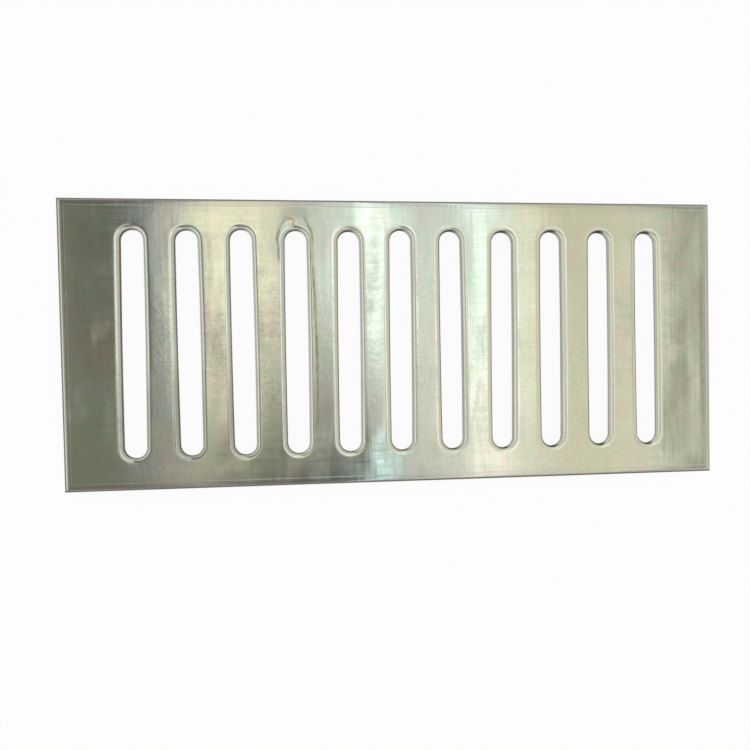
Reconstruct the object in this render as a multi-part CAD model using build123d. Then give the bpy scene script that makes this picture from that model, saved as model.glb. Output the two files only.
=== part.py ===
# Pressed stainless steel grating for a floor trench, folded from one sheet.
#
# The flat top carries a row of long round-ended slots. The rim of each slot is drawn
# down into a short rounded lip, which stiffens the bars between the slots. The four
# edges of the sheet are folded down into a skirt, and the grating stands on its rim.
# At each corner two skirts meet in a mitred seam, which is open below the bend and
# ends in a small square relief.
#
# Frame: X runs along the grating, Y across it and Z up. The origin is the middle of
# the rectangle that the skirt's rim stands on. All lengths are in millimetres.

import os

from build123d import *

# The sheet and its folded outline.
plate_length = 600.0
plate_width = 257.0
plate_height = 20.0
sheet_thickness = 1.5
skirt_bend_radius = 1.8

# The row of slots. The clear sizes are measured between the lips' upright legs.
slot_count = 11
slot_pitch = 47.3
slot_length = 200.0
slot_width = 19.4

# The lip drawn down around each slot: an elliptical roll, then a short upright leg.
lip_roll_width = 4.2
lip_roll_height = 3.8
lip_depth = 6.0

# The seam between two skirts at a corner, and the relief at its upper end.
seam_gap = 0.4
relief_width = 2.4
relief_height = 2.0

# Places that follow from the sizes above.
underside = plate_height - sheet_thickness
skirt_bend_outside = skirt_bend_radius + sheet_thickness
slot_straight = slot_length - slot_width
slot_centres = [(i - (slot_count - 1) / 2) * slot_pitch for i in range(slot_count)]


def rounded_block(length, width, height, radius):
    """A block standing on Z = 0, whose four top edges are rounded and mitred."""
    block = Box(length, width, height, align=(Align.CENTER, Align.CENTER, Align.MIN))
    return fillet(block.edges().group_by(Axis.Z)[-1], radius)


def folded_tray():
    """The sheet with its skirt folded down, before the slots are pressed."""
    outside = rounded_block(plate_length, plate_width, plate_height, skirt_bend_outside)
    inside = rounded_block(
        plate_length - 2 * sheet_thickness,
        plate_width - 2 * sheet_thickness,
        underside,
        skirt_bend_radius,
    )
    return outside - inside


def quarter_roll(width, height):
    """A quarter ellipse around the roll's centre, from the level sheet to the leg."""
    centre = (lip_roll_width, -lip_roll_height)
    return EllipticalCenterArc(centre, width, height, start_angle=90, arc_size=90)


def lip_section():
    """The lip cut across. The clear opening ends at X = 0 and the top face is Y = 0."""
    top = quarter_roll(lip_roll_width, lip_roll_height)
    under = quarter_roll(lip_roll_width - sheet_thickness, lip_roll_height - sheet_thickness)
    leg = Polyline(top @ 1, (0, -lip_depth), (sheet_thickness, -lip_depth), under @ 1)
    joint = Line(under @ 0, top @ 0)
    return make_face([top, leg, under, joint])


def slot_lip():
    """The lip around one slot: its section run along two straight sides and two ends."""
    section = Plane.XZ * Pos(slot_width / 2, plate_height) * lip_section()
    section = Pos(0, slot_straight / 2, 0) * section
    end_axis = Axis((0, slot_straight / 2, 0), (0, 0, 1))
    side = extrude(section, slot_straight)
    end = revolve(section, end_axis, 180)
    return side + end + side.mirror(Plane.YZ) + end.mirror(Plane.XZ)


def press_slots(tray):
    """Cuts each slot in the tray, out to where its lip begins, and adds the lip."""
    outline = SlotOverall(
        slot_length + 2 * lip_roll_width, slot_width + 2 * lip_roll_width, rotation=90
    )
    opening = extrude(outline, plate_height)
    lip = slot_lip()
    places = [Pos(x, 0, 0) for x in slot_centres]
    return tray - [place * opening for place in places] + [place * lip for place in places]


def seam_cutter():
    """The cutter for the seam at the +X +Y corner: an upright slit and its relief."""
    relief_top = plate_height - skirt_bend_outside
    reach = 4 * skirt_bend_outside
    slit = Box(reach, seam_gap, relief_top, align=(Align.CENTER, Align.CENTER, Align.MIN))
    relief = Pos(0, 0, relief_top) * Box(
        reach, relief_width, relief_height, align=(Align.CENTER, Align.CENTER, Align.MAX)
    )
    return Pos(plate_length / 2, plate_width / 2, 0) * Rot(0, 0, 45) * (slit + relief)


def grating_plate():
    """The finished sheet: folded, pressed and slit at its four corners."""
    right_rear = seam_cutter()
    left_rear = right_rear.mirror(Plane.YZ)
    rear = [right_rear, left_rear]
    front = [cutter.mirror(Plane.XZ) for cutter in rear]
    return press_slots(folded_tray()) - rear - front


os.makedirs("parts", exist_ok=True)
export_step(grating_plate(), "parts/grating_plate.step")
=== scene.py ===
# %% [markdown]
# # A pressed stainless steel grating
#
# The real object is one sheet of 1.5 mm stainless steel. A press has punched eleven long
# slots in it and drawn the rim of each one down into a rounded lip. A folding machine has
# turned its four edges down into a skirt. This lesson makes that sheet, its mill finish
# and the studio around it, on the frame that the CAD model gives.
#
# The first step loads that frame. It says how large everything is and where it stands,
# so nothing has to be measured twice.

# %% Load the CAD frame
import math

import bmesh
import bpy
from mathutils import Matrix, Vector


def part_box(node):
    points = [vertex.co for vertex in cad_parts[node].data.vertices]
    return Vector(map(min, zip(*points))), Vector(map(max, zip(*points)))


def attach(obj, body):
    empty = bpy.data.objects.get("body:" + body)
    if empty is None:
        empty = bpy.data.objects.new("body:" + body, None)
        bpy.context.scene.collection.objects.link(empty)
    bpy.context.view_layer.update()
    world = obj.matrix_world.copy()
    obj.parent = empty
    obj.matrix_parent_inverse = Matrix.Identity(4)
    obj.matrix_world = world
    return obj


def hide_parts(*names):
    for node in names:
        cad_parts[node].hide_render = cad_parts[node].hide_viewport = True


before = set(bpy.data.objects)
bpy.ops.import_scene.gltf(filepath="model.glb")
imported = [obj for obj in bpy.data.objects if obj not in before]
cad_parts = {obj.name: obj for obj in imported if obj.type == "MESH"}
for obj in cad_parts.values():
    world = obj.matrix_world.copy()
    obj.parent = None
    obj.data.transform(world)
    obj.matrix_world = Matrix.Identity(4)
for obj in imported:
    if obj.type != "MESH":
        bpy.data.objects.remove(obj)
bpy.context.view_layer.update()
print("CAD nodes:", sorted(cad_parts))

# %% [markdown]
# ## The sizes of the sheet
#
# The solid in the CAD frame is exact but plain. Its faces are flat to the last micron, and
# bright metal shows that at once, because a real sheet buckles a little when its slots are
# pressed. So the sheet is made again here from the same sizes, as a fine mesh that can be
# pushed about by fractions of a millimetre. Lengths are in millimetres until the last step
# of each shape.

# %% Sizes, in millimetres
MM = 0.001
low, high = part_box("grating_plate")
LENGTH, WIDTH, HEIGHT = (round(v / MM, 3) for v in high - low)
SHEET = 1.5
BEND_OUTSIDE = 3.3
BEND_INSIDE = BEND_OUTSIDE - SHEET
SLOTS, PITCH = 11, 47.3
SLOT_LENGTH, SLOT_RADIUS = 200.0, 9.7
ROLL_WIDE, ROLL_DEEP, LIP_DEEP = 4.2, 3.8, 6.0
SEAM_GAP, RELIEF_WIDE, RELIEF_DEEP = 0.4, 2.4, 2.0
FOLD_LINE, FOLD_HALF = 6.5, 0.6
TOUCHING = 0.01
END_CENTRE = SLOT_LENGTH / 2 - SLOT_RADIUS
ROW_HALF = SLOTS * PITCH / 2
print(f"plate {LENGTH:g} x {WIDTH:g} x {HEIGHT:g}, slots from -{ROW_HALF:g} to {ROW_HALF:g}")

# %% [markdown]
# ## A sheet has two faces
#
# A Solidify modifier could give a surface its thickness, but it can't mitre the corners of
# the skirt. So each point of the mesh is made twice, on the outer face and on the inner
# one, and `Sheet` keeps the pairs. It also keeps where the point was on the flat sheet
# before bending, because the grain of rolled steel runs over every bend.
#
# Cells are added between two rows of points, the second row further from the middle. At the
# end, the edges that only one cell uses are the cut edges of the sheet, and each gets a
# narrow face between the two skins, unless the next panel joins on there.

# %% A builder for sheet metal
OUTER, LIP, CUT, INNER = 0, 1, 2, 3


class Sheet:
    def __init__(self):
        self.outer, self.inner, self.flat, self.grip = [], [], [], []
        self.cells = []

    def point(self, outer, inner, flat, grip=0.0):
        self.outer.append(Vector(outer))
        self.inner.append(Vector(inner))
        self.flat.append(Vector(flat))
        self.grip.append(grip)
        return len(self.outer) - 1

    def strip(self, first, second, zone=OUTER, closed=False):
        count = len(first) if closed else len(first) - 1
        for j in range(count):
            k = (j + 1) % len(first)
            ring = [first[j], second[j], second[k], first[k]]
            self.cells.append((list(dict.fromkeys(ring)), zone))

    def cut_edges(self, joins_on):
        used = dict.fromkeys(p for ring, _ in self.cells for p in zip(ring, ring[1:] + ring[:1]))
        alone = [(a, b) for a, b in used if (b, a) not in used]
        return [p for p in alone if not all(joins_on(self.outer[i]) for i in p)]

    def mesh(self, name, joins_on):
        """The finished panel. joins_on says which points meet the next panel."""
        pairs = len(self.outer)
        faces = list(self.cells)
        faces += [([i + pairs for i in reversed(ring)], INNER) for ring, _ in self.cells]
        faces += [([b, a, a + pairs, b + pairs], CUT) for a, b in self.cut_edges(joins_on)]
        mesh = bpy.data.meshes.new(name)
        mesh.from_pydata([p * MM for p in self.outer + self.inner], [], [f for f, _ in faces])
        zones = mesh.attributes.new("zone", "INT", "FACE")
        zones.data.foreach_set("value", [zone for _, zone in faces])
        rolled = mesh.attributes.new("rolled", "FLOAT_VECTOR", "POINT")
        flat = [v for p in self.flat + self.flat for v in (p.x * MM, p.y * MM, 0.0)]
        rolled.data.foreach_set("vector", flat)
        mesh.attributes.new("grip", "FLOAT", "POINT").data.foreach_set("value", self.grip * 2)
        print(f"{name}: {len(mesh.vertices)} points, {len(mesh.polygons)} faces")
        return mesh


# %% [markdown]
# ## Two profiles: the folded edge and the drawn lip
#
# Both shapes are the same all the way along, so each is written once as a profile, and
# the panels sweep it. The folded edge is a quarter circle and a straight skirt. The lip is
# a quarter ellipse, which is what a rounded punch leaves, and a short upright leg.
#
# Each step of a profile holds its place on the outer face, its place on the inner face and
# how far along the unbent sheet it was.

# %% The folded edge and the lip
BEND_FOOT = HEIGHT - BEND_OUTSIDE
SKIRT_HEIGHTS = (BEND_FOOT - RELIEF_DEEP, 11.0, 7.5, 4.0, 0.0)
LIP_SEGMENTS = 10


def folded_edge(straight):
    """Steps outward from where the bend begins: (outer, inner, flat), as (across, height)."""
    steps = []
    axis = Vector((0, BEND_FOOT))
    for degrees in (15, 30, 45, 60, 75, 90):
        turn = math.radians(degrees)
        arm = Vector((math.sin(turn), math.cos(turn)))
        steps.append((axis + arm * BEND_OUTSIDE, axis + arm * BEND_INSIDE, BEND_OUTSIDE * turn))
    for height in straight:
        flat = BEND_OUTSIDE * math.pi / 2 + BEND_FOOT - height
        steps.append((Vector((BEND_OUTSIDE, height)), Vector((BEND_INSIDE, height)), flat))
    return steps


def drawn_lip(segments):
    """Steps outward from the lip's foot: (outer, inner, flat), as (out from the clear edge, height)."""
    foot = HEIGHT - LIP_DEEP
    steps = [(Vector((0, foot)), Vector((SHEET, foot)), 0.0)]
    centre = Vector((ROLL_WIDE, HEIGHT - ROLL_DEEP))
    for i in range(segments + 1):
        turn = math.radians(90 * i / segments)
        arm = Vector((-math.cos(turn), math.sin(turn)))
        outer = centre + Vector((arm.x * ROLL_WIDE, arm.y * ROLL_DEEP))
        inner = centre + Vector((arm.x * (ROLL_WIDE - SHEET), arm.y * (ROLL_DEEP - SHEET)))
        steps.append((outer, inner, steps[-1][2] + (outer - steps[-1][0]).length))
    spread = steps[-1][2]
    return [(outer, inner, ROLL_WIDE - spread + flat) for outer, inner, flat in steps]


edge_steps = folded_edge(SKIRT_HEIGHTS)
lip_steps = drawn_lip(LIP_SEGMENTS)
print(len(edge_steps), "steps in the folded edge,", len(lip_steps), "in the lip")

# %% [markdown]
# ## One slot and its share of the sheet
#
# The pattern repeats every 47.3 mm, so one panel holds one slot. Its points stand on rings
# around the slot, which start at the foot of the lip, climb over the roll and spread out
# into the panel's rectangle. That keeps the cells square to the lip, where the reflections
# are, and lets neighbouring panels share their side points exactly.
#
# One slot was pressed wrong, and its creases need a closer mesh. So the function takes the
# distances at which the rings stand, and is called twice.

# %% Rings around a slot
SIDE_ROWS, CORNER_RAYS, TOP_RAYS = 44, 12, 14
UPRIGHT = 1e-9
PANEL_HALF = PITCH / 2
FOLD_ACROSS = WIDTH / 2 - FOLD_LINE
BORDER_ROWS = (FOLD_ACROSS - FOLD_HALF, FOLD_ACROSS, FOLD_ACROSS + FOLD_HALF)
BEND_START = WIDTH / 2 - BEND_OUTSIDE


def rays_of_end():
    """Directions from the end's centre, from +X round to -X, one of them through the corner."""
    rise = BORDER_ROWS[0] - END_CENTRE
    corner = math.atan2(rise, PANEL_HALF)
    turns = [corner * i / CORNER_RAYS for i in range(1, CORNER_RAYS + 1)]
    turns += [corner + (math.pi - 2 * corner) * i / TOP_RAYS for i in range(1, TOP_RAYS)]
    turns += [math.pi - t for t in reversed(turns[:CORNER_RAYS])]
    rays = []
    for turn in turns:
        way = Vector((math.cos(turn), math.sin(turn)))
        to_side = PANEL_HALF / max(abs(way.x), UPRIGHT)
        rays.append((way, min(to_side, rise / way.y)))
    return rays


def stations():
    """Places round the slot, anticlockwise: (centre, direction, distance to the panel's edge)."""
    ys = [END_CENTRE * (2 * i / SIDE_ROWS - 1) for i in range(SIDE_ROWS + 1)]
    right = [(Vector((0, y)), Vector((1, 0)), PANEL_HALF) for y in ys]
    top = [(Vector((0, END_CENTRE)), way, reach) for way, reach in rays_of_end()]
    half = right + top
    return half + [(-centre, -way, reach) for centre, way, reach in half]


def slot_panel(name, near_rings, far_shares):
    """near_rings: mm outward from the roll's start. far_shares: shares of the rest of the way."""
    sheet, places = Sheet(), stations()
    rings = []
    for outer, inner, flat in lip_steps:
        ring = []
        for centre, way, _ in places:
            out, back, was = (centre + way * (SLOT_RADIUS + d) for d in (outer.x, inner.x, flat))
            ring.append(sheet.point((*out, outer.y), (*back, inner.y), was, grip=1.0))
        rings.append(ring)
    lip_rings = len(rings)
    start = SLOT_RADIUS + ROLL_WIDE
    for near, share in [(n, 0.0) for n in near_rings] + [(near_rings[-1], s) for s in far_shares]:
        ring = []
        for centre, way, reach in places:
            near_end = start + near
            spot = centre + way * (near_end + (reach - near_end) * share)
            under = (*spot, HEIGHT - SHEET)
            ring.append(sheet.point((*spot, HEIGHT), under, spot, grip=1 - share))
        rings.append(ring)
    for i in range(len(rings) - 1):
        zone = LIP if i < lip_rings - 1 else OUTER
        sheet.strip(rings[i], rings[i + 1], zone, closed=True)
    for side in (1, -1):
        first = SIDE_ROWS + CORNER_RAYS + (0 if side > 0 else len(places) // 2)
        row = rings[-1][first : first + TOP_RAYS + 1]
        for outer, inner, flat in border_steps():
            beyond = []
            for i in row:
                x = sheet.outer[i].x
                spots = [(x, side * step.x, step.y) for step in (outer, inner)]
                beyond.append(sheet.point(*spots, (x, side * flat)))
            sheet.strip(row, beyond)
            row = beyond
    return sheet.mesh(name, lambda p: abs(abs(p.x) - PANEL_HALF) < TOUCHING)


def border_steps():
    """The rows from the slot's panel out to the skirt's rim, as (across, height) from the middle."""
    steps = []
    for across in (*BORDER_ROWS[1:], BEND_START):
        steps.append((Vector((across, HEIGHT)), Vector((across, HEIGHT - SHEET)), across))
    base = Vector((BEND_START, 0))
    return steps + [(base + outer, base + inner, BEND_START + flat) for outer, inner, flat in edge_steps]


CLOSE_RINGS = (0.5, 1.0, 1.5, 1.9, 2.3, 2.7, 3.1, 3.6, 4.3, 5.2, 6.3, 7.5)
plain_panel = slot_panel("plain_panel", (0.5, 1.2, 2.0, 3.1), (0.45, 1.0))
creased_panel = slot_panel("creased_panel", CLOSE_RINGS, (0.34, 0.67, 1.0))

# %% [markdown]
# ## The plain end of the sheet
#
# Past the last slot there is a plain panel, which ends in its own skirt. Its rows have to
# meet the slot panel's side, so they stand at the same Y. At the two corners the folded
# edges run into each other along a mitre. Below the bend the skirts only meet: there is a
# fine seam between them, with a small square relief at its upper end that keeps the bend
# from tearing.
#
# Half of the panel is made, and then mirrored, which turns its faces inside out. So the
# mirrored half has its rings reversed.

# %% The end panel, from its middle line to one corner
END_FLAT = LENGTH / 2 - BEND_OUTSIDE - ROW_HALF
END_COLUMNS = (4.5, 9.0, 13.5, 18.0, 22.5, 26.5, 30.0)
RELIEF_HALF = RELIEF_WIDE / math.sqrt(2)
SEAM_HALF = SEAM_GAP / math.sqrt(2)
FOLD_AT = LENGTH / 2 - FOLD_LINE - ROW_HALF


def corner_spots(outer, inner, bend):
    """Along-the-edge places of the relief's side and the mitre for one step of the edge."""
    if bend:
        share = 1 - RELIEF_HALF / BEND_OUTSIDE
        return [(outer.x * share, inner.x * share), (outer.x, inner.x)]
    relief = (BEND_OUTSIDE - RELIEF_HALF, BEND_INSIDE - RELIEF_HALF)
    return [relief, (BEND_OUTSIDE - SEAM_HALF, BEND_INSIDE - SEAM_HALF)]


def end_panel(name):
    sheet = Sheet()
    side = [PANEL_HALF * way.y / way.x for way, _ in rays_of_end()[:CORNER_RAYS]]
    ys = [END_CENTRE * 2 * i / SIDE_ROWS for i in range(SIDE_ROWS // 2 + 1)]
    ys += [END_CENTRE + rise for rise in side] + [*BORDER_ROWS[1:], BEND_START]
    xs = [0.0, *END_COLUMNS, FOLD_AT - FOLD_HALF, FOLD_AT, FOLD_AT + FOLD_HALF, END_FLAT]

    def flat_point(x, y):
        return sheet.point((x, y, HEIGHT), (x, y, HEIGHT - SHEET), (x, y))

    columns = [[flat_point(x, y) for y in ys] for x in xs]
    for first, second in zip(columns, columns[1:]):
        sheet.strip(first, second)
    corner = columns[-1][-1]
    before = columns[-1] + [corner, corner]
    above = [corner, corner] + [column[-1] for column in reversed(columns)]
    bends = len(edge_steps) - len(SKIRT_HEIGHTS)
    for k, (outer, inner, flat) in enumerate(edge_steps):
        bend = k < bends

        def on_end(y, back):
            spots = (END_FLAT + outer.x, y, outer.y), (END_FLAT + inner.x, back, inner.y)
            return sheet.point(*spots, (END_FLAT + flat, y))

        def on_side(x, back):
            spots = (x, BEND_START + outer.x, outer.y), (back, BEND_START + inner.x, inner.y)
            return sheet.point(*spots, (x, BEND_START + flat))

        column = [on_end(y, y) for y in ys]
        row = [on_side(x, x) for x in reversed(xs)]
        for out, back in corner_spots(outer, inner, bend):
            column.append(on_end(BEND_START + out, BEND_START + back))
            shared = bend and len(column) == len(ys) + 2
            row.insert(0, column[-1] if shared else on_side(END_FLAT + out, END_FLAT + back))
        open_corner = k == bends
        sheet.strip(before[:-1] if open_corner else before, column[:-1] if open_corner else column)
        sheet.strip(above[1:] if open_corner else above, row[1:] if open_corner else row)
        before, above = column, row
    mirror_half(sheet)
    return sheet.mesh(name, lambda p: abs(p.x) < TOUCHING)


def mirror_half(sheet):
    """Adds the half below y = 0. Points on the middle line are shared."""
    twin = {}
    for i in range(len(sheet.outer)):
        outer, inner, flat = sheet.outer[i], sheet.inner[i], sheet.flat[i]
        if abs(outer.y) < TOUCHING:
            twin[i] = i
            continue
        spots = [(p.x, -p.y, p.z) for p in (outer, inner)]
        twin[i] = sheet.point(*spots, (flat.x, -flat.y))
    sheet.cells += [([twin[i] for i in reversed(ring)], zone) for ring, zone in sheet.cells]


end_mesh = end_panel("end_panel")

# %% [markdown]
# ## A shorter way to write a node tree
#
# The next steps are node trees. Written out, each node takes four or five lines. So `put`
# adds one node to the tree in hand, fills or links its inputs and returns an output. The
# output comes as an `Out`, whose operators add Math nodes, so that a geometry or shader
# tree reads like a few formulas.

# %% Helpers for node trees
class Desk:
    """Holds the tree in hand, which every new node goes into."""

    tree = None


def adds(operation):
    """An operator that adds a Math node, or a Vector Math node to a vector."""
    return lambda *terms: calc(operation, *terms)


class Out:
    """A node's output."""

    __add__, __sub__ = adds("ADD"), adds("SUBTRACT")
    __mul__, __truediv__ = adds("MULTIPLY"), adds("DIVIDE")
    __abs__ = adds("ABSOLUTE")

    def __init__(self, socket):
        self.socket = socket
        self.is_vector = socket.type == "VECTOR"


def link(value, socket):
    """Links an output to a node's input, or sets the input's own value."""
    if isinstance(value, Out):
        Desk.tree.links.new(value.socket, socket)
    else:
        socket.default_value = value


def put(kind, inputs=None, out=0, **settings):
    """Adds a node. inputs maps a socket's name or number to a value or to an output."""
    node = Desk.tree.nodes.new(kind)
    for name, value in settings.items():
        setattr(node, name, value)
    for key, value in (inputs or {}).items():
        link(value, node.inputs[key])
    return Out(node.outputs[out]) if node.outputs else None


def outs(value):
    """All outputs of the node that this output belongs to, by name."""
    return {socket.name: Out(socket) for socket in value.socket.node.outputs}


def calc(operation, *terms, clamp=False):
    """One Math node, or a Vector Math node if a term is a vector."""
    sockets = dict(enumerate(terms))
    if any(getattr(term, "is_vector", isinstance(term, tuple)) for term in terms):
        return put("ShaderNodeVectorMath", sockets, operation=operation)
    return put("ShaderNodeMath", sockets, operation=operation, use_clamp=clamp)


def ramp(value, start, end, low=0.0, high=1.0, smooth=True):
    """Map Range, clamped: low at start, high at end."""
    sockets = dict(enumerate((value, start, end, low, high)))
    shape = "SMOOTHSTEP" if smooth else "LINEAR"
    return put("ShaderNodeMapRange", sockets, interpolation_type=shape)


def look(place, scale=1.0, detail=2.0, roughness=0.5, distortion=0.0):
    """A noise texture's value."""
    sockets = {"Vector": place, "Scale": scale, "Detail": detail, "Roughness": roughness,
               "Distortion": distortion}
    return put("ShaderNodeTexNoise", sockets)


def vector(x=0.0, y=0.0, z=0.0):
    return put("ShaderNodeCombineXYZ", {0: x, 1: y, 2: z})


def parts(vector_in):
    """The X, Y and Z of a vector."""
    return list(outs(put("ShaderNodeSeparateXYZ", {0: vector_in})).values())


def start_tree(name, kind, inputs, outputs):
    """A new node group and its inputs. An input's default, or its kind, says what it holds."""
    kinds = {float: "Float", int: "Int", tuple: "Vector"}
    Desk.tree = tree = bpy.data.node_groups.new(name, kind)
    for label, value in inputs.items():
        socket = "NodeSocket" + (value if isinstance(value, str) else kinds[type(value)])
        made = tree.interface.new_socket(label, in_out="INPUT", socket_type=socket)
        if not isinstance(value, str):
            made.default_value = value
    socket = "NodeSocketFloat" if kind == "ShaderNodeTree" else "NodeSocketGeometry"
    for label in outputs:
        tree.interface.new_socket(label, in_out="OUTPUT", socket_type=socket)
    return tree, outs(put("NodeGroupInput"))


print("node helpers ready")

# %% [markdown]
# ## Pressing the whole sheet with Geometry Nodes
#
# The tree lays a line of points, one per slot, and puts a panel on each, with the creased
# one at its own number. The two ends are the same panel, once as it is and once turned half
# round. Then everything is realized, joined and merged into one sheet.
#
# The second half of the tree is what pressing does to a flat sheet. The long sides of a slot
# spring outward a little, the outer band drops by a hair beyond the folding tool's line, and
# the bars buckle. Whatever is pressed only ever goes down, so the sheet stays within its
# true size.

# %% The press tree
CREASED = 4
PRESS_MARKS = {
    "Slot bow": 0.4, "Shoulder": 0.06, "Band drop": 0.06, "Fold mark": 0.02,
    "Buckle depth": 0.25, "Crease depth": 0.035, "Dent depth": 0.15,
}
VECTOR = "FLOAT_VECTOR"
settings = {"Slots": SLOTS, "Pitch": PITCH * MM, "Creased slot": CREASED, "Seed": 3.0}
settings |= {label: size * MM for label, size in PRESS_MARKS.items()}
inputs = {"Geometry": "Geometry"} | settings
inputs |= dict.fromkeys(("Creased panel", "End panel", "Slips", "Creases", "Dents"), "Object")
inputs |= dict.fromkeys(("Sheet steel", "Lip steel", "Cut steel", "Underside steel"), "Material")
press, given = start_tree("press_sheet", "GeometryNodeTree", inputs, ["Geometry"])


def named(name, kind="FLOAT"):
    return put("GeometryNodeInputNamedAttribute", {"Name": name}, data_type=kind)


def keep(geometry, name, value, kind="FLOAT", domain="POINT"):
    """Stores a value on the geometry under a name."""
    sockets = {"Geometry": geometry, "Name": name, "Value": value}
    return put("GeometryNodeStoreNamedAttribute", sockets, data_type=kind, domain=domain)


def shape_of(label):
    """The geometry of the object in an input."""
    return put("GeometryNodeObjectInfo", {"Object": given[label]}, out="Geometry")


def row_of(panel, chosen):
    """Copies of a panel on the chosen points of the line."""
    return put("GeometryNodeInstanceOnPoints", {0: line, "Selection": chosen, "Instance": panel})


half_row = given["Pitch"] * (given["Slots"] * 0.5)
line = put("GeometryNodeMeshLine", {
    "Count": given["Slots"],
    "Start Location": vector(given["Pitch"] * 0.5 - half_row),
    "Offset": vector(given["Pitch"]),
})
line = keep(line, "slot_centre", parts(put("GeometryNodeInputPosition"))[0])
index = put("GeometryNodeInputIndex")
for label in ("far_end", "near_end"):
    sockets = {"Geometry": shape_of("Slips"), "Value": named(label, VECTOR), "Index": index}
    slip = put("GeometryNodeSampleIndex", sockets, data_type=VECTOR)
    line = keep(line, label, slip, VECTOR)
is_creased = calc("COMPARE", index + 1.0, given["Creased slot"], 0.1)
plain_row = row_of(given["Geometry"], calc("SUBTRACT", 1.0, is_creased))
creased_one = row_of(shape_of("Creased panel"), is_creased)
print("the row of panels is laid out")

# %% [markdown]
# The ends come next. `rolled` holds each point's place on the sheet before it was bent. A
# panel only knows its own, so its distance from the middle is added here, and the end that
# is turned round gets it turned round too. The result becomes the UV map. Its U runs
# across the sheet, because that is the way in which rolled steel smears a reflection.

# %% The two ends, and the UV map of the unbent sheet
shift = vector(half_row)
unbent = named("rolled", VECTOR)
end_rolled = keep(shape_of("End panel"), "rolled", unbent + shift, VECTOR)
right_end = put("GeometryNodeTransform", {"Geometry": end_rolled, "Translation": shift})
left_end = put("GeometryNodeTransform", {
    "Geometry": keep(end_rolled, "rolled", unbent * (-1.0, -1.0, 0.0), VECTOR),
    "Translation": shift * (-1.0, 0.0, 0.0),
    "Rotation": (0.0, 0.0, math.pi),
})
join = press.nodes.new("GeometryNodeJoinGeometry")
for part in (plain_row, creased_one, right_end, left_end):
    link(part, join.inputs[0])
whole = put("GeometryNodeRealizeInstances", {"Geometry": Out(join.outputs[0])})
centre = named("slot_centre")
flat_x, flat_y, _ = parts(unbent + vector(centre))
whole = keep(whole, "UVMap", vector(flat_y, flat_x), "FLOAT2", "CORNER")

spot_x, spot_y, spot_z = parts(put("GeometryNodeInputPosition"))
from_slot = spot_x - centre
past_end = calc("MAXIMUM", abs(spot_y) - END_CENTRE * MM, 0.0)
from_axis = calc("SQRT", from_slot * from_slot + past_end * past_end)
whole = keep(whole, "from_axis", from_axis)
whole = put("GeometryNodeMergeByDistance", {"Geometry": whole, "Distance": 2 * TOUCHING * MM})
print("ends placed, panels merged")

# %% [markdown]
# Now the marks of the press. Each one is a field: a number worked out at every point from
# its place. First the ones that move a slot in the plane of the sheet:
#
# - slip: the punch is set by hand, so no slot sits or leans quite like the next. `Slips`
#   gives each slot one small move for its far end and one for its near end. A point
#   follows them by its grip, which is 1 on the lip and 0 on the panel's own outline
# - bow: how far a slot's long side has sprung out, most at its middle, none at its ends

# %% Slip and bow
SLIP_REACH = 85
BOW_FULL, BOW_NONE = 14.5, 23.0
near_end, far_end = named("near_end", VECTOR), named("far_end", VECTOR)
share = ramp(spot_y, -SLIP_REACH * MM, SLIP_REACH * MM, smooth=False)
slip = (near_end + (far_end - near_end) * share) * named("grip")

near_slot = ramp(abs(from_slot), BOW_FULL * MM, BOW_NONE * MM, 1.0, 0.0)
along = spot_y / (END_CENTRE * MM)
bulge = calc("SUBTRACT", 1.0, along * along, clamp=True)
in_row = calc("LESS_THAN", abs(from_slot), PANEL_HALF * MM)
bow = calc("SIGN", from_slot) * near_slot * bulge * given["Slot bow"] * in_row
print("slip and bow added")

# %% [markdown]
# Then the marks that sink the sheet. They all go down, and are added up:
#
# - shoulder: the sheet sags softly towards each lip before the roll begins
# - band: beyond the folding tool's line, 6.5 mm inside the outline, the sheet hangs a hair
#   lower, and a fine groove shows where the tool's edge stood
# - buckle: smooth noise that fades out towards the folded edges, which hold the sheet stiff
# - creases and dents: near the badly pressed slot, by the distance to a few drawn lines
#   and points, which Geometry Proximity measures

# %% Shoulder, band, buckles, creases and dents
SHOULDER_FROM, SHOULDER_TO = 15.4, 12.4
BUCKLES_PER_METRE = (21.0, 9.0)
BUCKLES_FULL = 24
CREASE_WIDE, DENT_RADIUS = 2.2, 5.0
shoulder = ramp(named("from_axis"), SHOULDER_FROM * MM, SHOULDER_TO * MM)
shoulder = shoulder * (given["Shoulder"] * in_row)

past_x = abs(spot_x) - LENGTH / 2 * MM
past_y = abs(spot_y) - WIDTH / 2 * MM
to_outline = calc("MAXIMUM", past_x, past_y) * -1.0
outside = ramp(to_outline, FOLD_LINE * MM, BEND_OUTSIDE * MM, smooth=False)
groove = ramp(abs(to_outline - FOLD_LINE * MM), FOLD_HALF * MM, 0.0, smooth=False)
band = outside * given["Band drop"] + groove * given["Fold mark"]

held = ramp(to_outline, FOLD_LINE * MM, BUCKLES_FULL * MM)
field = vector(spot_x * BUCKLES_PER_METRE[0], spot_y * BUCKLES_PER_METRE[1], given["Seed"])
noise = look(field, detail=1.0, roughness=0.4)
buckle = ramp(noise, 0.25, 0.75) * given["Buckle depth"] * held

on_top = vector(spot_x, spot_y, HEIGHT * MM)


def near_mark(label, element, width):
    """1 on the edges or points of the object in an input, 0 from width away."""
    sockets = {"Geometry": shape_of(label), "Sample Position": on_top}
    away = put("GeometryNodeProximity", sockets, out="Distance", target_element=element)
    return ramp(away, width * MM, 0.0)


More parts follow.
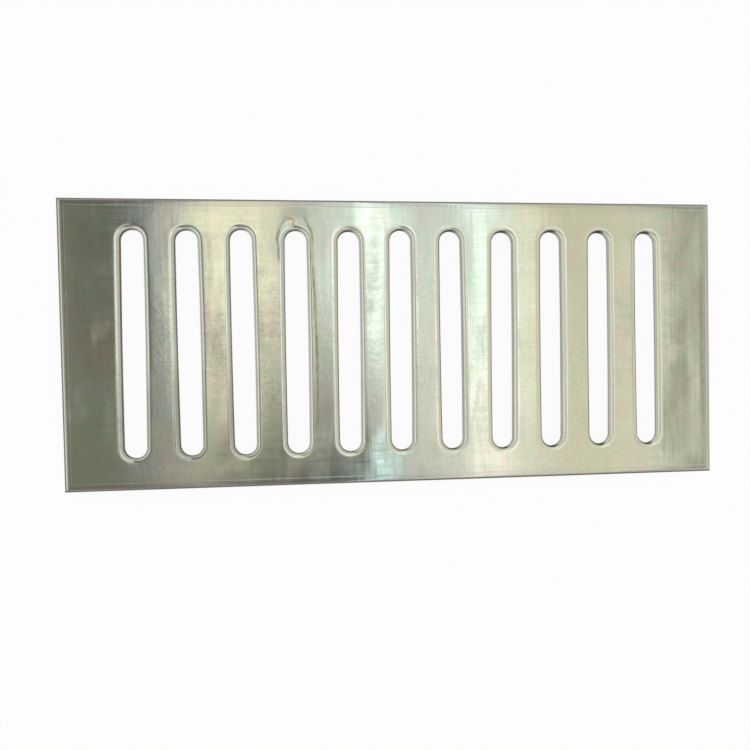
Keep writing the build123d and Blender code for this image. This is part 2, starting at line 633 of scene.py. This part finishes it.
creased = near_mark("Creases", "EDGES", CREASE_WIDE)
dented = near_mark("Dents", "POINTS", DENT_RADIUS)
sink = band * (spot_z / (HEIGHT * MM))
sink = sink + creased * given["Crease depth"] + dented * given["Dent depth"] + (shoulder + buckle)
beyond = ramp(to_outline, (FOLD_LINE + FOLD_HALF / 2) * MM, (FOLD_LINE - FOLD_HALF / 2) * MM)
for label, value in (("crease", creased), ("fold", groove), ("band", beyond)):
    whole = keep(whole, label, value)
move = vector(bow, 0.0, sink * -1.0) + slip
pressed = put("GeometryNodeSetPosition", {"Geometry": whole, "Offset": move})
print("press marks added")

# %% [markdown]
# The tree ends with the finish. Edges sharper than 35 degrees stay crisp and the rest are
# shaded smooth. Then each zone of the sheet gets its own steel: the sheet itself, the lips
# that the punch has drawn, the cut edges and the underside.

# %% Smooth shading and materials, then the tree's output
CRISP = math.radians(35)
soft_edges = calc("LESS_THAN", put("GeometryNodeInputMeshEdgeAngle"), CRISP)
done = pressed
for smooth, domain in ((True, "FACE"), (soft_edges, "EDGE")):
    done = put("GeometryNodeSetShadeSmooth", {"Geometry": done, "Shade Smooth": smooth}, domain=domain)
done = put("GeometryNodeSetMaterial", {"Geometry": done, "Material": given["Sheet steel"]})
zone = named("zone", "INT")
for kind, label in ((LIP, "Lip steel"), (CUT, "Cut steel"), (INNER, "Underside steel")):
    here = calc("COMPARE", zone, float(kind), 0.1)
    sockets = {"Geometry": done, "Selection": here, "Material": given[label]}
    done = put("GeometryNodeSetMaterial", sockets)
put("NodeGroupOutput", {0: done})
print(len(press.nodes), "nodes in the press tree")

# %% [markdown]
# ## Stainless steel: the rolled grain
#
# Mill-finished stainless steel isn't a mirror. The rolls leave fine hairlines along the
# strip, which smear a reflection across it. The face is very slightly uneven, like the peel
# of an orange, and handling adds wipes, stains and a film of oil. Each effect is a node
# group, and each of the sheet's four steels says how much of it there is.
#
# The first group is the grain. It reads the UV map, where U runs across the grain, so it
# follows the sheet over its folds. A noise that is stretched 60 times makes the hairlines,
# and a second, broader one the bands that a worn roll leaves. A third is stretched the
# other way: the sheet was coiled, and leaves the mill with faint ripples across it, which
# show as upright streaks in whatever it reflects.

# %% Shader group: rolled grain
def stretched(place, scale, offset=(0.0, 0.0, 0.0)):
    """A place, scaled by its own amount each way, as a texture's vector."""
    return calc("MULTIPLY_ADD", place, scale, offset)


def shader_group(name, inputs, outputs):
    return start_tree(name, "ShaderNodeTree", inputs, outputs)


grain, take = shader_group("rolled_grain", {"Amount": 1.0}, ["Height", "Streak"])
unrolled = put("ShaderNodeUVMap", uv_map="UVMap")
fine = look(stretched(unrolled, (1100.0, 18.0, 0.0)), detail=3.0, roughness=0.65)
broad = look(stretched(unrolled, (210.0, 14.0, 0.0), (7.0, 3.0, 0.0)))
ripple = look(stretched(unrolled, (7.0, 190.0, 0.0), (2.0, 9.0, 0.0)))
height = (fine + broad * 0.9 + ripple * 30.0) * take["Amount"]
put("NodeGroupOutput", {"Height": height, "Streak": fine * 0.6 + broad * 0.4})
print("rolled_grain:", len(grain.nodes), "nodes")

# %% [markdown]
# The second group is the unevenness of the face: shallow dimples about 3 mm apart, in
# patches, over swells of a centimetre or so. The third is what hands and weather leave:
# broad wipes that run across the sheet, and the thinnest film of oil, which tints the
# steel rosy in some places and green in others. Both read Object coordinates, which are
# the same metres as the CAD frame's.

# %% Shader groups: orange peel and handling
inputs = {"Patchiness": 1.0, "Extra": 0.0}
peel, take = shader_group("orange_peel", inputs, ["Height", "Patch", "Speckle"])
place = put("ShaderNodeTexCoord", out="Object")
patch = (ramp(look(place, 17.0), 0.35, 0.75) + take["Extra"]) * take["Patchiness"]
dimples = look(place, 360.0, roughness=0.6)
swells = look(place, 75.0, detail=1.0, distortion=0.4)
speckle = ramp(dimples, 0.38, 0.72) * patch
put("NodeGroupOutput", {"Height": dimples * patch + swells * 1.6, "Patch": patch, "Speckle": speckle})

handling, take = shader_group("handling_marks", {"Amount": 1.0}, ["Haze", "Rosy", "Green"])
place = put("ShaderNodeTexCoord", out="Object")
wipe = look(stretched(place, (60.0, 13.0, 30.0)), detail=3.0, distortion=0.8)
cloud = look(place, 21.0, detail=4.0, roughness=0.6)
film = look(stretched(place, (62.0, 22.0, 30.0)), detail=3.0, roughness=0.6)
put("NodeGroupOutput", {
    "Haze": ramp(wipe, 0.4, 0.68) * ramp(cloud, 0.38, 0.62) * take["Amount"],
    "Rosy": ramp(film, 0.5, 0.68) * take["Amount"],
    "Green": ramp(film, 0.5, 0.32) * take["Amount"],
})
print("orange_peel:", len(peel.nodes), "nodes; handling_marks:", len(handling.nodes), "nodes")

# %% [markdown]
# Some marks sit in one known place: a brownish water stain near the left end, for example.
# The fourth group is a soft-edged patch with a centre and a half size. Noise pushes its
# outline about, so it looks spilled and not stamped.

# %% Shader group: a patch in one place
inputs = {"Centre": (0.0, 0.0, 0.0), "Half size": (0.01, 0.01, 1.0), "Raggedness": 0.5}
blot, take = shader_group("blot", inputs, ["Mask"])
place = put("ShaderNodeTexCoord", out="Object")
offset = (place - take["Centre"]) / take["Half size"]
distance = put("ShaderNodeVectorMath", {0: offset}, out="Value", operation="LENGTH")
rag = (look(place, 70.0, detail=4.0, roughness=0.6) - 0.5) * (take["Raggedness"] * 3.0)
put("NodeGroupOutput", {"Mask": ramp(distance + rag, 0.35, 1.15, 1.0, 0.0)})
print("blot:", len(blot.nodes), "nodes")

# %% [markdown]
# ## Four steels
#
# `Steel` puts the groups together. It starts from a metallic Principled shader. What is
# the same all over goes straight into its sockets: fully metallic, and anisotropic, which
# stretches each highlight along U, across the grain. What changes over the surface comes
# from the groups:
#
# - roughness rises in wipes, streaks and dimples
# - colour darkens a little in the haze and the streaks, and turns with the film of oil
# - a Bump node turns the heights, which are in metres, into a leaning normal
#
# It keeps its colour and its roughness, so that each steel can add its own marks before
# they are plugged in.

# %% How a steel is put together
GRAIN_HEIGHT, PEEL_HEIGHT = 0.9e-6, 26e-6
MEAN_STREAK = 0.11


def use(group, inputs):
    """Places a shader group, fills or links its inputs, and returns its outputs."""
    return outs(put("ShaderNodeGroup", inputs, node_tree=group))


def patch_at(middle, half, ragged):
    """A blot's mask. middle and half are in metres, along and across the sheet."""
    inputs = {"Centre": (*middle, 0.0), "Half size": (*half, 1.0), "Raggedness": ragged}
    return use(blot, inputs)["Mask"]


def tinted(share, colour, tint):
    """The colour, moved towards tint by share. Both can be outputs or three numbers."""
    colour, tint = (c if isinstance(c, Out) else (*c, 1.0) for c in (colour, tint))
    return put("ShaderNodeMix", {0: share, 6: colour, 7: tint}, out=2, data_type="RGBA")


class Steel:
    """A steel in the making: its colour and its roughness, which marks can be added to."""

    def __init__(self, name, colour, rough, hairlines=1.0, dimples=1.0, wipes=1.0,
                 anisotropic=0.7, pressed_at=None):
        self.material = bpy.data.materials.new(name)
        self.material.use_nodes = True
        Desk.tree = self.material.node_tree
        across_grain = put("ShaderNodeTangent", direction_type="UV_MAP", uv_map="UVMap")
        rolled = use(grain, {"Amount": hairlines})
        under_pad = patch_at(*pressed_at) if pressed_at else 0.0
        uneven = use(peel, {"Patchiness": dimples, "Extra": under_pad})
        hands = use(handling, {"Amount": wipes})
        height = rolled["Height"] * GRAIN_HEIGHT + uneven["Height"] * PEEL_HEIGHT
        bump = put("ShaderNodeBump", {"Height": height, "Distance": 1.0, "Strength": 1.0})
        self.plug({"Metallic": 1.0, "Anisotropic": anisotropic, "Tangent": across_grain, "Normal": bump})

        self.roughness = hands["Haze"] * 0.12 + rolled["Streak"] * 0.22 + uneven["Patch"] * 0.03
        self.roughness = self.roughness + (rough - MEAN_STREAK)
        self.colour = colour
        for share, red, green, blue in (
            (hands["Haze"] * 0.3, 0.8, 0.8, 0.8),
            (hands["Rosy"] * 0.8, 1.05, 0.93, 0.95),
            (hands["Green"] * 0.8, 0.92, 1.0, 0.93),
            (ramp(rolled["Streak"], 0.4, 0.75, 0.0, 0.32), 0.8, 0.8, 0.8),
            (uneven["Speckle"] * 0.28, 0.62, 0.62, 0.62),
        ):
            tint = (colour[0] * red, colour[1] * green, colour[2] * blue)
            self.colour = tinted(share, self.colour, tint)

    def mark(self, mask, amount, tint, rougher):
        """Tints the colour and roughens the steel where the mask is."""
        self.colour = tinted(mask * amount, self.colour, tint)
        self.roughness = calc("MULTIPLY_ADD", mask, rougher, self.roughness)

    def plug(self, values):
        for label, value in values.items():
            link(value, Desk.tree.nodes["Principled BSDF"].inputs[label])

    def finished(self):
        self.plug({"Base Color": self.colour, "Roughness": self.roughness})
        print(self.material.name, "has", len(Desk.tree.nodes), "nodes")
        return self.material


def object_part(axis, kind="Object"):
    """One part of the Object coordinates or of the object's normal."""
    return parts(put("ShaderNodeTexCoord", out=kind))["XYZ".index(axis)]


def attribute(name):
    return put("ShaderNodeAttribute", out="Fac", attribute_name=name, attribute_type="GEOMETRY")


def below_top(height, start, end):
    """A ramp from start to end, both in millimetres below the sheet's face."""
    return ramp(height, (HEIGHT - start) * MM, (HEIGHT - end) * MM)


print("steel is ready")

# %% [markdown]
# The sheet's face has the bars' mottle, where the pad of the press held them down, and its
# own stains. They are a table, one line each: the brownish one, a dark smear behind it that
# is broken into flecks, a grey one behind the badly pressed slot, a faint one in front of
# the brown one, and two light smears near the right end. The creases are painted dark in
# broken patches, as painted shade. The folding tool has left a matt line, and the band
# beyond it is rubbed, more so towards the left end. Over the bend the steel is painted
# nearly black, a painted shade that makes the plate's outline read as a thin dark line.

# %% The sheet's own face
PAD = ((-0.11, 0.0), (0.17, 0.072), 0.5)
STAINS = [
    (((-0.266, 0.002), (0.018, 0.034), 0.8), 0.6, (0.52, 0.41, 0.31), False),
    (((-0.278, 0.090), (0.010, 0.034), 0.7), 0.42, (0.26, 0.27, 0.19), True),
    (((-0.092, 0.1165), (0.017, 0.007), 0.6), 0.5, (0.30, 0.32, 0.27), False),
    (((-0.262, -0.070), (0.010, 0.016), 0.8), 0.35, (0.40, 0.42, 0.32), False),
    (((0.262, -0.012), (0.007, 0.016), 0.8), 0.8, (0.80, 0.75, 0.68), False),
    (((0.262, 0.045), (0.008, 0.036), 0.8), 0.6, (0.78, 0.75, 0.66), True),
]
sheet = Steel("sheet_steel", (0.625, 0.625, 0.505), 0.12, anisotropic=0.6, pressed_at=PAD)
place = put("ShaderNodeTexCoord", out="Object")
flecks = ramp(look(place, 560.0, detail=3.0, roughness=0.6), 0.42, 0.62)
for where, amount, tint, is_flecked in STAINS:
    stain = patch_at(*where)
    sheet.mark(stain * flecks if is_flecked else stain, amount, tint, 0.04)
# Painted shade: the creases are painted dark in broken patches.
broken_crease_shade = ramp(look(place, 110.0, detail=3.0, roughness=0.6), 0.36, 0.64, 0.55, 1.0)
sheet.mark(attribute("crease") * broken_crease_shade, 0.85, (0.20, 0.18, 0.12), 0.1)
rubbed = attribute("band") * ramp(object_part("X"), 0.25, -0.15, 0.4, 1.0)
sheet.mark(rubbed, 0.75, (0.53, 0.50, 0.45), 0.0)
sheet.roughness = calc("MULTIPLY_ADD", attribute("fold"), 0.18, sheet.roughness)
height = object_part("Z")
# Painted shade: the bend of the folded edge is painted nearly black, which draws the outline.
outline_shade = below_top(height, 0.15, 0.8) * below_top(height, 5.5, 3.0)
sheet.mark(outline_shade, 0.85, (0.08, 0.078, 0.075), 0.15)
steels = {"Sheet steel": sheet.finished()}

# %% [markdown]
# The punch has burnished the top of each lip. Its leg is painted dark from partway down the
# roll, a painted shade and painted dark reflection, grey on the sides that look towards the
# left end and nearly black on the others. Towards the right end the black shade starts a
# little higher up the roll, the grey lower down and darker, and the lips are painted lighter,
# a painted sheen, and more matt. The foot of each leg is painted dark as well, and the lips
# at the front of slots 1 to 3 are darker.
#
# The cut edges are torn, not polished. The underside never saw a hand, but has more wipes
# of oil from the press.

# %% The lips, the cut edges and the underside
lip = Steel("lip_steel", (0.61, 0.61, 0.53), 0.14, hairlines=0.5, dimples=0.0, anisotropic=0.3)
# The lips at the front of slots 1 to 3 are darker.
lip.mark(patch_at((-0.19, -0.07), (0.09, 0.06), 0.3), 0.6, (0.30, 0.32, 0.26), 0.05)
height, along = object_part("Z"), object_part("X")
to_left = ramp(object_part("X", "Normal"), -0.1, -0.7)
# Painted sheen: the lips are painted lighter towards the right end. The same ramp darkens the legs' grey
# painted shade there.
painted_light_to_right = ramp(along, -0.2, 0.16)
lip.mark(painted_light_to_right, 0.7, (0.80, 0.79, 0.63), 0.18)
# Painted shade on the legs: dark from a height that changes along the row, grey where the leg looks
# towards the left end, nearly black elsewhere.
black_shade_from = ramp(along, -0.24, 0.24, (HEIGHT - 1.7) * MM, (HEIGHT - 0.5) * MM)
grey_shade_from = ramp(along, 0.0, 0.24, (HEIGHT - 0.8) * MM, (HEIGHT - 2.6) * MM)
start = to_left * (grey_shade_from - black_shade_from) + black_shade_from
grey_leg_shade = tinted(painted_light_to_right, (0.68, 0.68, 0.63), (0.46, 0.46, 0.42))
leg_shade_colour = tinted(to_left, (0.05, 0.055, 0.04), grey_leg_shade)
lip.mark(ramp(start - height, 0.0, 1.0 * MM), 0.95, leg_shade_colour, 0.2)
# Painted shade: the foot of each leg is painted nearly black.
lip.mark(below_top(height, 4.6, 5.6), 0.8, (0.09, 0.09, 0.08), 0.1)
steels["Lip steel"] = lip.finished()
cut = Steel("cut_steel", (0.34, 0.34, 0.29), 0.42, dimples=2.0, anisotropic=0.2)
steels["Cut steel"] = cut.finished()
steels["Underside steel"] = Steel("underside_steel", (0.52, 0.52, 0.45), 0.3, wipes=1.5).finished()

# %% [markdown]
# ## Where the press went wrong
#
# The slips are a table with one line per slot: how far its far end went to the right and
# backward, and how far its near end did, in millimetres. They travel to the tree as a mesh
# of eleven loose points that carry them as attributes.
#
# The fourth slot was pressed with the sheet lying uneven. A crease runs down along its
# right side, another bends round its far left corner, and a dent 10 mm across sits inside
# that bend. They are drawn as a few lines and a point, measured from that slot's middle.

# %% Slips, creases and dents
SLIPS = [
    (-1.1, 1.6, -2.7, 0.0), (-1.6, 1.4, -1.3, 0.9), (-1.3, 2.1, -1.2, 0.5), (0.0, 1.5, -0.9, 0.3),
    (0.5, 1.1, -1.0, 0.6), (0.6, 2.3, -0.7, 0.8), (-0.3, 1.7, -0.4, 0.6), (1.5, 1.0, 0.0, 0.2),
    (1.0, 1.6, 0.3, 0.6), (0.4, 1.2, -0.1, 1.2), (-0.5, 0.8, 0.0, 0.8),
]
CREASES = [
    [(-16.2, 92.0), (-14.6, 98.0), (-12.4, 104.6), (-8.4, 109.6), (-5.2, 110.2), (-0.6, 108.8),
     (-1.9, 105.3), (-0.6, 102.4)],
    [(9.0, 110.2), (11.2, 104.6), (14.4, 98.0), (15.2, 92.0), (14.4, 84.0), (13.9, 74.0), (15.0, 64.0),
     (15.9, 45.0), (16.8, 14.0), (17.3, 0.0), (17.4, -30.0), (16.8, -73.0)],
    [(-16.2, 92.0), (-15.2, 86.0), (-14.6, 74.0)],
]
DENTS = [(-5.6, 105.9)]


def points_mesh(name, spots, lines=()):
    """A mesh of points and lines on the sheet's top, in millimetres."""
    mesh = bpy.data.meshes.new(name)
    mesh.from_pydata([(x * MM, y * MM, HEIGHT * MM) for x, y in spots], list(lines), [])
    return mesh


creased_x = (CREASED - 0.5) * PITCH - ROW_HALF
slip_row = points_mesh("slip_row", [(i * PITCH, 0) for i in range(SLOTS)])
for label, first in (("far_end", 0), ("near_end", 2)):
    moves = [v for row in SLIPS for v in (row[first] * MM, row[first + 1] * MM, 0.0)]
    slip_row.attributes.new(label, VECTOR, "POINT").data.foreach_set("vector", moves)
spots, lines = [], []
for crease in CREASES:
    lines += [(len(spots) + i, len(spots) + i + 1) for i in range(len(crease) - 1)]
    spots += [(creased_x + x, y) for x, y in crease]
crease_lines = points_mesh("crease_lines", spots, lines)
dent_points = points_mesh("dent_points", [(creased_x + x, y) for x, y in DENTS])
print(len(SLIPS), "slips,", len(lines), "crease lines,", len(DENTS), "dent")

# %% [markdown]
# ## Baking the sheet
#
# The helper objects only carry their meshes into the tree. The modifier's inputs are set
# by each socket's identifier, before anything is evaluated. Then the evaluated mesh is
# copied out as a plain one, and the helpers and the modifier go.

# %% Run the tree once and keep the mesh
def place_object(name, data):
    """A new object with this data, in the scene."""
    made = bpy.data.objects.new(name, data)
    bpy.context.scene.collection.objects.link(made)
    return made


def bake(name, base, tree, values):
    carrier = place_object("carrier", base)
    modifier = carrier.modifiers.new("press", "NODES")
    modifier.node_group = tree
    for label, value in values.items():
        modifier[tree.interface.items_tree[label].identifier] = value
    depsgraph = bpy.context.evaluated_depsgraph_get()
    mesh = bpy.data.meshes.new_from_object(carrier.evaluated_get(depsgraph), depsgraph=depsgraph)
    bpy.data.objects.remove(carrier)
    mesh.name = name
    return mesh


for panel in (plain_panel, creased_panel, end_mesh):
    panel.materials.append(steels["Sheet steel"])
meshes = {
    "Creased panel": creased_panel, "End panel": end_mesh,
    "Slips": slip_row, "Creases": crease_lines, "Dents": dent_points,
}
helpers = {label: bpy.data.objects.new("helper", mesh) for label, mesh in meshes.items()}
sheet_mesh = bake("pressed_sheet", plain_panel, press, settings | helpers | steels)
for helper in helpers.values():
    bpy.data.objects.remove(helper)
grating = place_object("pressed_sheet", sheet_mesh)
triangles = sum(len(p.vertices) - 2 for p in sheet_mesh.polygons)
print(f"{len(sheet_mesh.vertices)} points, {triangles} triangles,", [m.name for m in sheet_mesh.materials])

# %% Check that the sheet is closed
shell = bmesh.new()
shell.from_mesh(sheet_mesh)
loose = [e for e in shell.edges if len(e.link_faces) != 2]
print(len(loose), "open edges; volume", round(shell.calc_volume() * 1e9), "cubic mm")
shell.free()

# %% Ride on the frame
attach(grating, "root")
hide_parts("grating_plate")

# %% [markdown]
# ## The floor
#
# The photographed grating stands out against pure white. So where the camera or a
# reflection looks at the floor, most of it is a steady glow, and the small share of white
# paint left in the mix shows the soft shadow. Every other ray meets the paint alone. A
# Light Path node tells the rays apart.

# %% The floor
FLOOR_REACH = 6.0
white_floor = bpy.data.materials.new("white_floor")
white_floor.use_nodes = True
Desk.tree = white_floor.node_tree
Desk.tree.nodes.clear()
path = outs(put("ShaderNodeLightPath"))
seen = calc("MAXIMUM", path["Is Camera Ray"], path["Is Glossy Ray"])
seen = calc("MAXIMUM", seen, path["Is Transmission Ray"])
lit = put("ShaderNodeBsdfDiffuse", {"Color": (0.82, 0.82, 0.82, 1.0)})
glow = put("ShaderNodeEmission", {"Color": (1.0, 1.0, 1.0, 1.0), "Strength": 1.0})
put("ShaderNodeOutputMaterial", {"Surface": put("ShaderNodeMixShader", {0: seen * 0.94, 1: lit, 2: glow})})

floor_mesh = bpy.data.meshes.new("floor")
corners = [(x * FLOOR_REACH, y * FLOOR_REACH, 0) for x, y in ((-1, -1), (1, -1), (1, 1), (-1, 1))]
floor_mesh.from_pydata(corners, [], [(0, 1, 2, 3)])
floor_mesh.materials.append(white_floor)
floor = place_object("floor", floor_mesh)

# %% [markdown]
# ## A light tent with cards
#
# Bright metal has hardly any look of its own: it shows what hangs over it. Here that is
# soft light with darker and cooler strips in it, and each one makes a column of tone across
# the bars. A white tent with grey and blue cards does that. It is painted on the world,
# which is simple and gives no noise.
#
# A direction becomes two angles from straight up: one along the grating and one across it.
# There are three rows of strips: over the far side, over the middle, and over the near
# side, which is the darkest. A fourth row, over the outermost edge of the far side, is the
# far row a little dimmed. A strip is an angle in degrees, a level and a tint. Past the
# sheet's two ends all rows are the same, and low down everything fades into the pale tent.

# %% The tent and its cards
TINTS = {
    "plain": (1.0, 1.0, 1.0),
    "warm": (1.03, 1.0, 0.87),
    "mint": (0.86, 1.0, 1.05),
    "pale": (0.94, 1.0, 1.0),
    "grey": (0.89, 1.0, 1.16),
    "blue": (0.74, 1.0, 1.2),
    "olive": (0.93, 1.0, 0.86),
}
PAST_LEFT = [
    (-60, 1.1, "plain"), (-46, 1.4, "plain"), (-34, 1.15, "plain"), (-27, 0.6, "olive"),
    (-21, 0.27, "olive"),
]
PAST_RIGHT = [
    (25, 1.0, "warm"), (28.4, 1.05, "plain"), (30.0, 0.48, "olive"), (32.2, 0.4, "olive"),
    (34.5, 0.85, "plain"), (60, 0.8, "plain"),
]
FAR_CARDS = PAST_LEFT + [
    (-16.5, 0.28, "olive"), (-14, 0.14, "olive"), (-12, 0.44, "grey"), (-10.2, 0.78, "grey"),
    (-8.4, 1.35, "warm"), (-6.5, 1.54, "warm"), (-3, 1.42, "warm"), (0, 0.88, "plain"), (2.5, 1.0, "mint"),
    (5.8, 2.4, "mint"), (8.2, 1.05, "mint"), (10.5, 1.02, "plain"), (12.2, 1.0, "mint"),
    (14.4, 2.3, "mint"), (16.6, 1.15, "mint"), (18.3, 1.45, "warm"), (20.4, 0.85, "warm"),
] + PAST_RIGHT
EDGE_CARDS = [(angle, 0.86 * level, tint) for angle, level, tint in FAR_CARDS]
MIDDLE_CARDS = PAST_LEFT + [
    (-13.8, 0.26, "olive"), (-12, 0.5, "grey"), (-10, 0.76, "grey"), (-8, 1.0, "warm"),
    (-6, 1.04, "warm"), (-4, 0.8, "warm"), (-2, 0.56, "warm"), (1, 0.45, "plain"),
    (3.5, 0.66, "plain"), (6, 0.86, "plain"), (10, 1.12, "warm"), (12, 1.15, "plain"),
    (14.4, 2.4, "pale"), (16.6, 1.2, "plain"), (18.3, 1.35, "warm"), (20.4, 0.9, "warm"),
] + PAST_RIGHT
NEAR_CARDS = PAST_LEFT + [
    (-13.8, 0.26, "olive"), (-11.4, 0.36, "plain"), (-9.4, 0.56, "warm"), (-8, 0.52, "warm"),
    (-6, 0.25, "plain"), (-2.5, 0.25, "olive"), (0.3, 0.17, "plain"), (3.2, 0.15, "plain"),
    (5.4, 0.35, "mint"), (6.5, 2.7, "blue"), (7.5, 0.5, "mint"), (10.5, 0.64, "plain"),
    (12.6, 0.85, "plain"), (14.8, 1.7, "plain"), (17, 1.15, "plain"), (20.4, 0.9, "warm"),
] + PAST_RIGHT
# Where each row takes over from the one before, in degrees across the sheet.
ROWS = ((-3.8, -2.2, MIDDLE_CARDS), (1.4, 4.0, FAR_CARDS), (11, 15, EDGE_CARDS))


def cards(angle, strips):
    """A colour ramp over -90 to 90 degrees, with one stop for each strip."""
    share = ramp(angle, -math.pi / 2, math.pi / 2, smooth=False)
    colour = put("ShaderNodeValToRGB", {0: share})
    colour_ramp = colour.socket.node.color_ramp
    colour_ramp.interpolation = "EASE"
    stops = colour_ramp.elements
    while len(stops) < len(strips):
        stops.new(0.5)
    for stop, (degrees, level, tint) in zip(stops, strips):
        stop.position = (degrees + 90) / 180
        stop.color = (*[level * part for part in TINTS[tint]], 1.0)
    return colour


world = bpy.data.worlds.new("studio")
bpy.context.scene.world = world
world.use_nodes = True
Desk.tree = world.node_tree
way_x, way_y, way_z = parts(put("ShaderNodeTexCoord", out="Generated"))
lengthwise, crosswise = calc("ARCTAN2", way_x, way_z), calc("ARCTAN2", way_y, way_z)
hung = cards(lengthwise, NEAR_CARDS)
for first, last, strips in ROWS:
    share = ramp(crosswise, math.radians(first), math.radians(last))
    hung = tinted(share, hung, cards(lengthwise, strips))
light = tinted(ramp(way_z, 0.4, 0.75), (0.8, 0.8, 0.78), hung)
link(light, Desk.tree.nodes["Background"].inputs["Color"])
print("strips in a row:", len(FAR_CARDS), len(MIDDLE_CARDS), len(NEAR_CARDS))

# %% [markdown]
# ## The camera
#
# The picture was taken from about 66 cm above a point left of the middle and towards the
# near side. The camera looks almost straight down, so the outline tapers only a little, to
# the right. The place and the turn come from the plate's four corners and the row of slots.
# A small shift of the lens moves the plate to where it lies in the picture. The near limit
# is 1 cm, so that nothing close to the lens is cut away.

# %% The camera
PICTURE, SENSOR = 750, 36
camera_data = bpy.data.cameras.new("camera")
camera = place_object("camera", camera_data)
camera.location = (-0.08941, -0.04613, 0.65663)
camera.rotation_euler = [math.radians(turn) for turn in (-1.3615, -6.4287, -1.1399)]
camera_data.lens = SENSOR * 700 / PICTURE
camera_data.shift_x, camera_data.shift_y = -8.5 / PICTURE, 35.69 / PICTURE
camera_data.clip_start = 0.01
bpy.context.scene.camera = camera
print("camera at", [round(v, 3) for v in camera.location], "m, lens", round(camera_data.lens, 1), "mm")

# %% [markdown]
# ## The picture's settings
#
# Blender's usual view transform rolls bright tones off, which would turn the steel's colours
# grey. The Standard one shows each colour about as it is written.
#
# Every mark of the press goes down or stays in the plane, so the finished sheet has the same
# box as the CAD solid.

# %% The picture's settings
bpy.context.scene.view_settings.view_transform = "Standard"
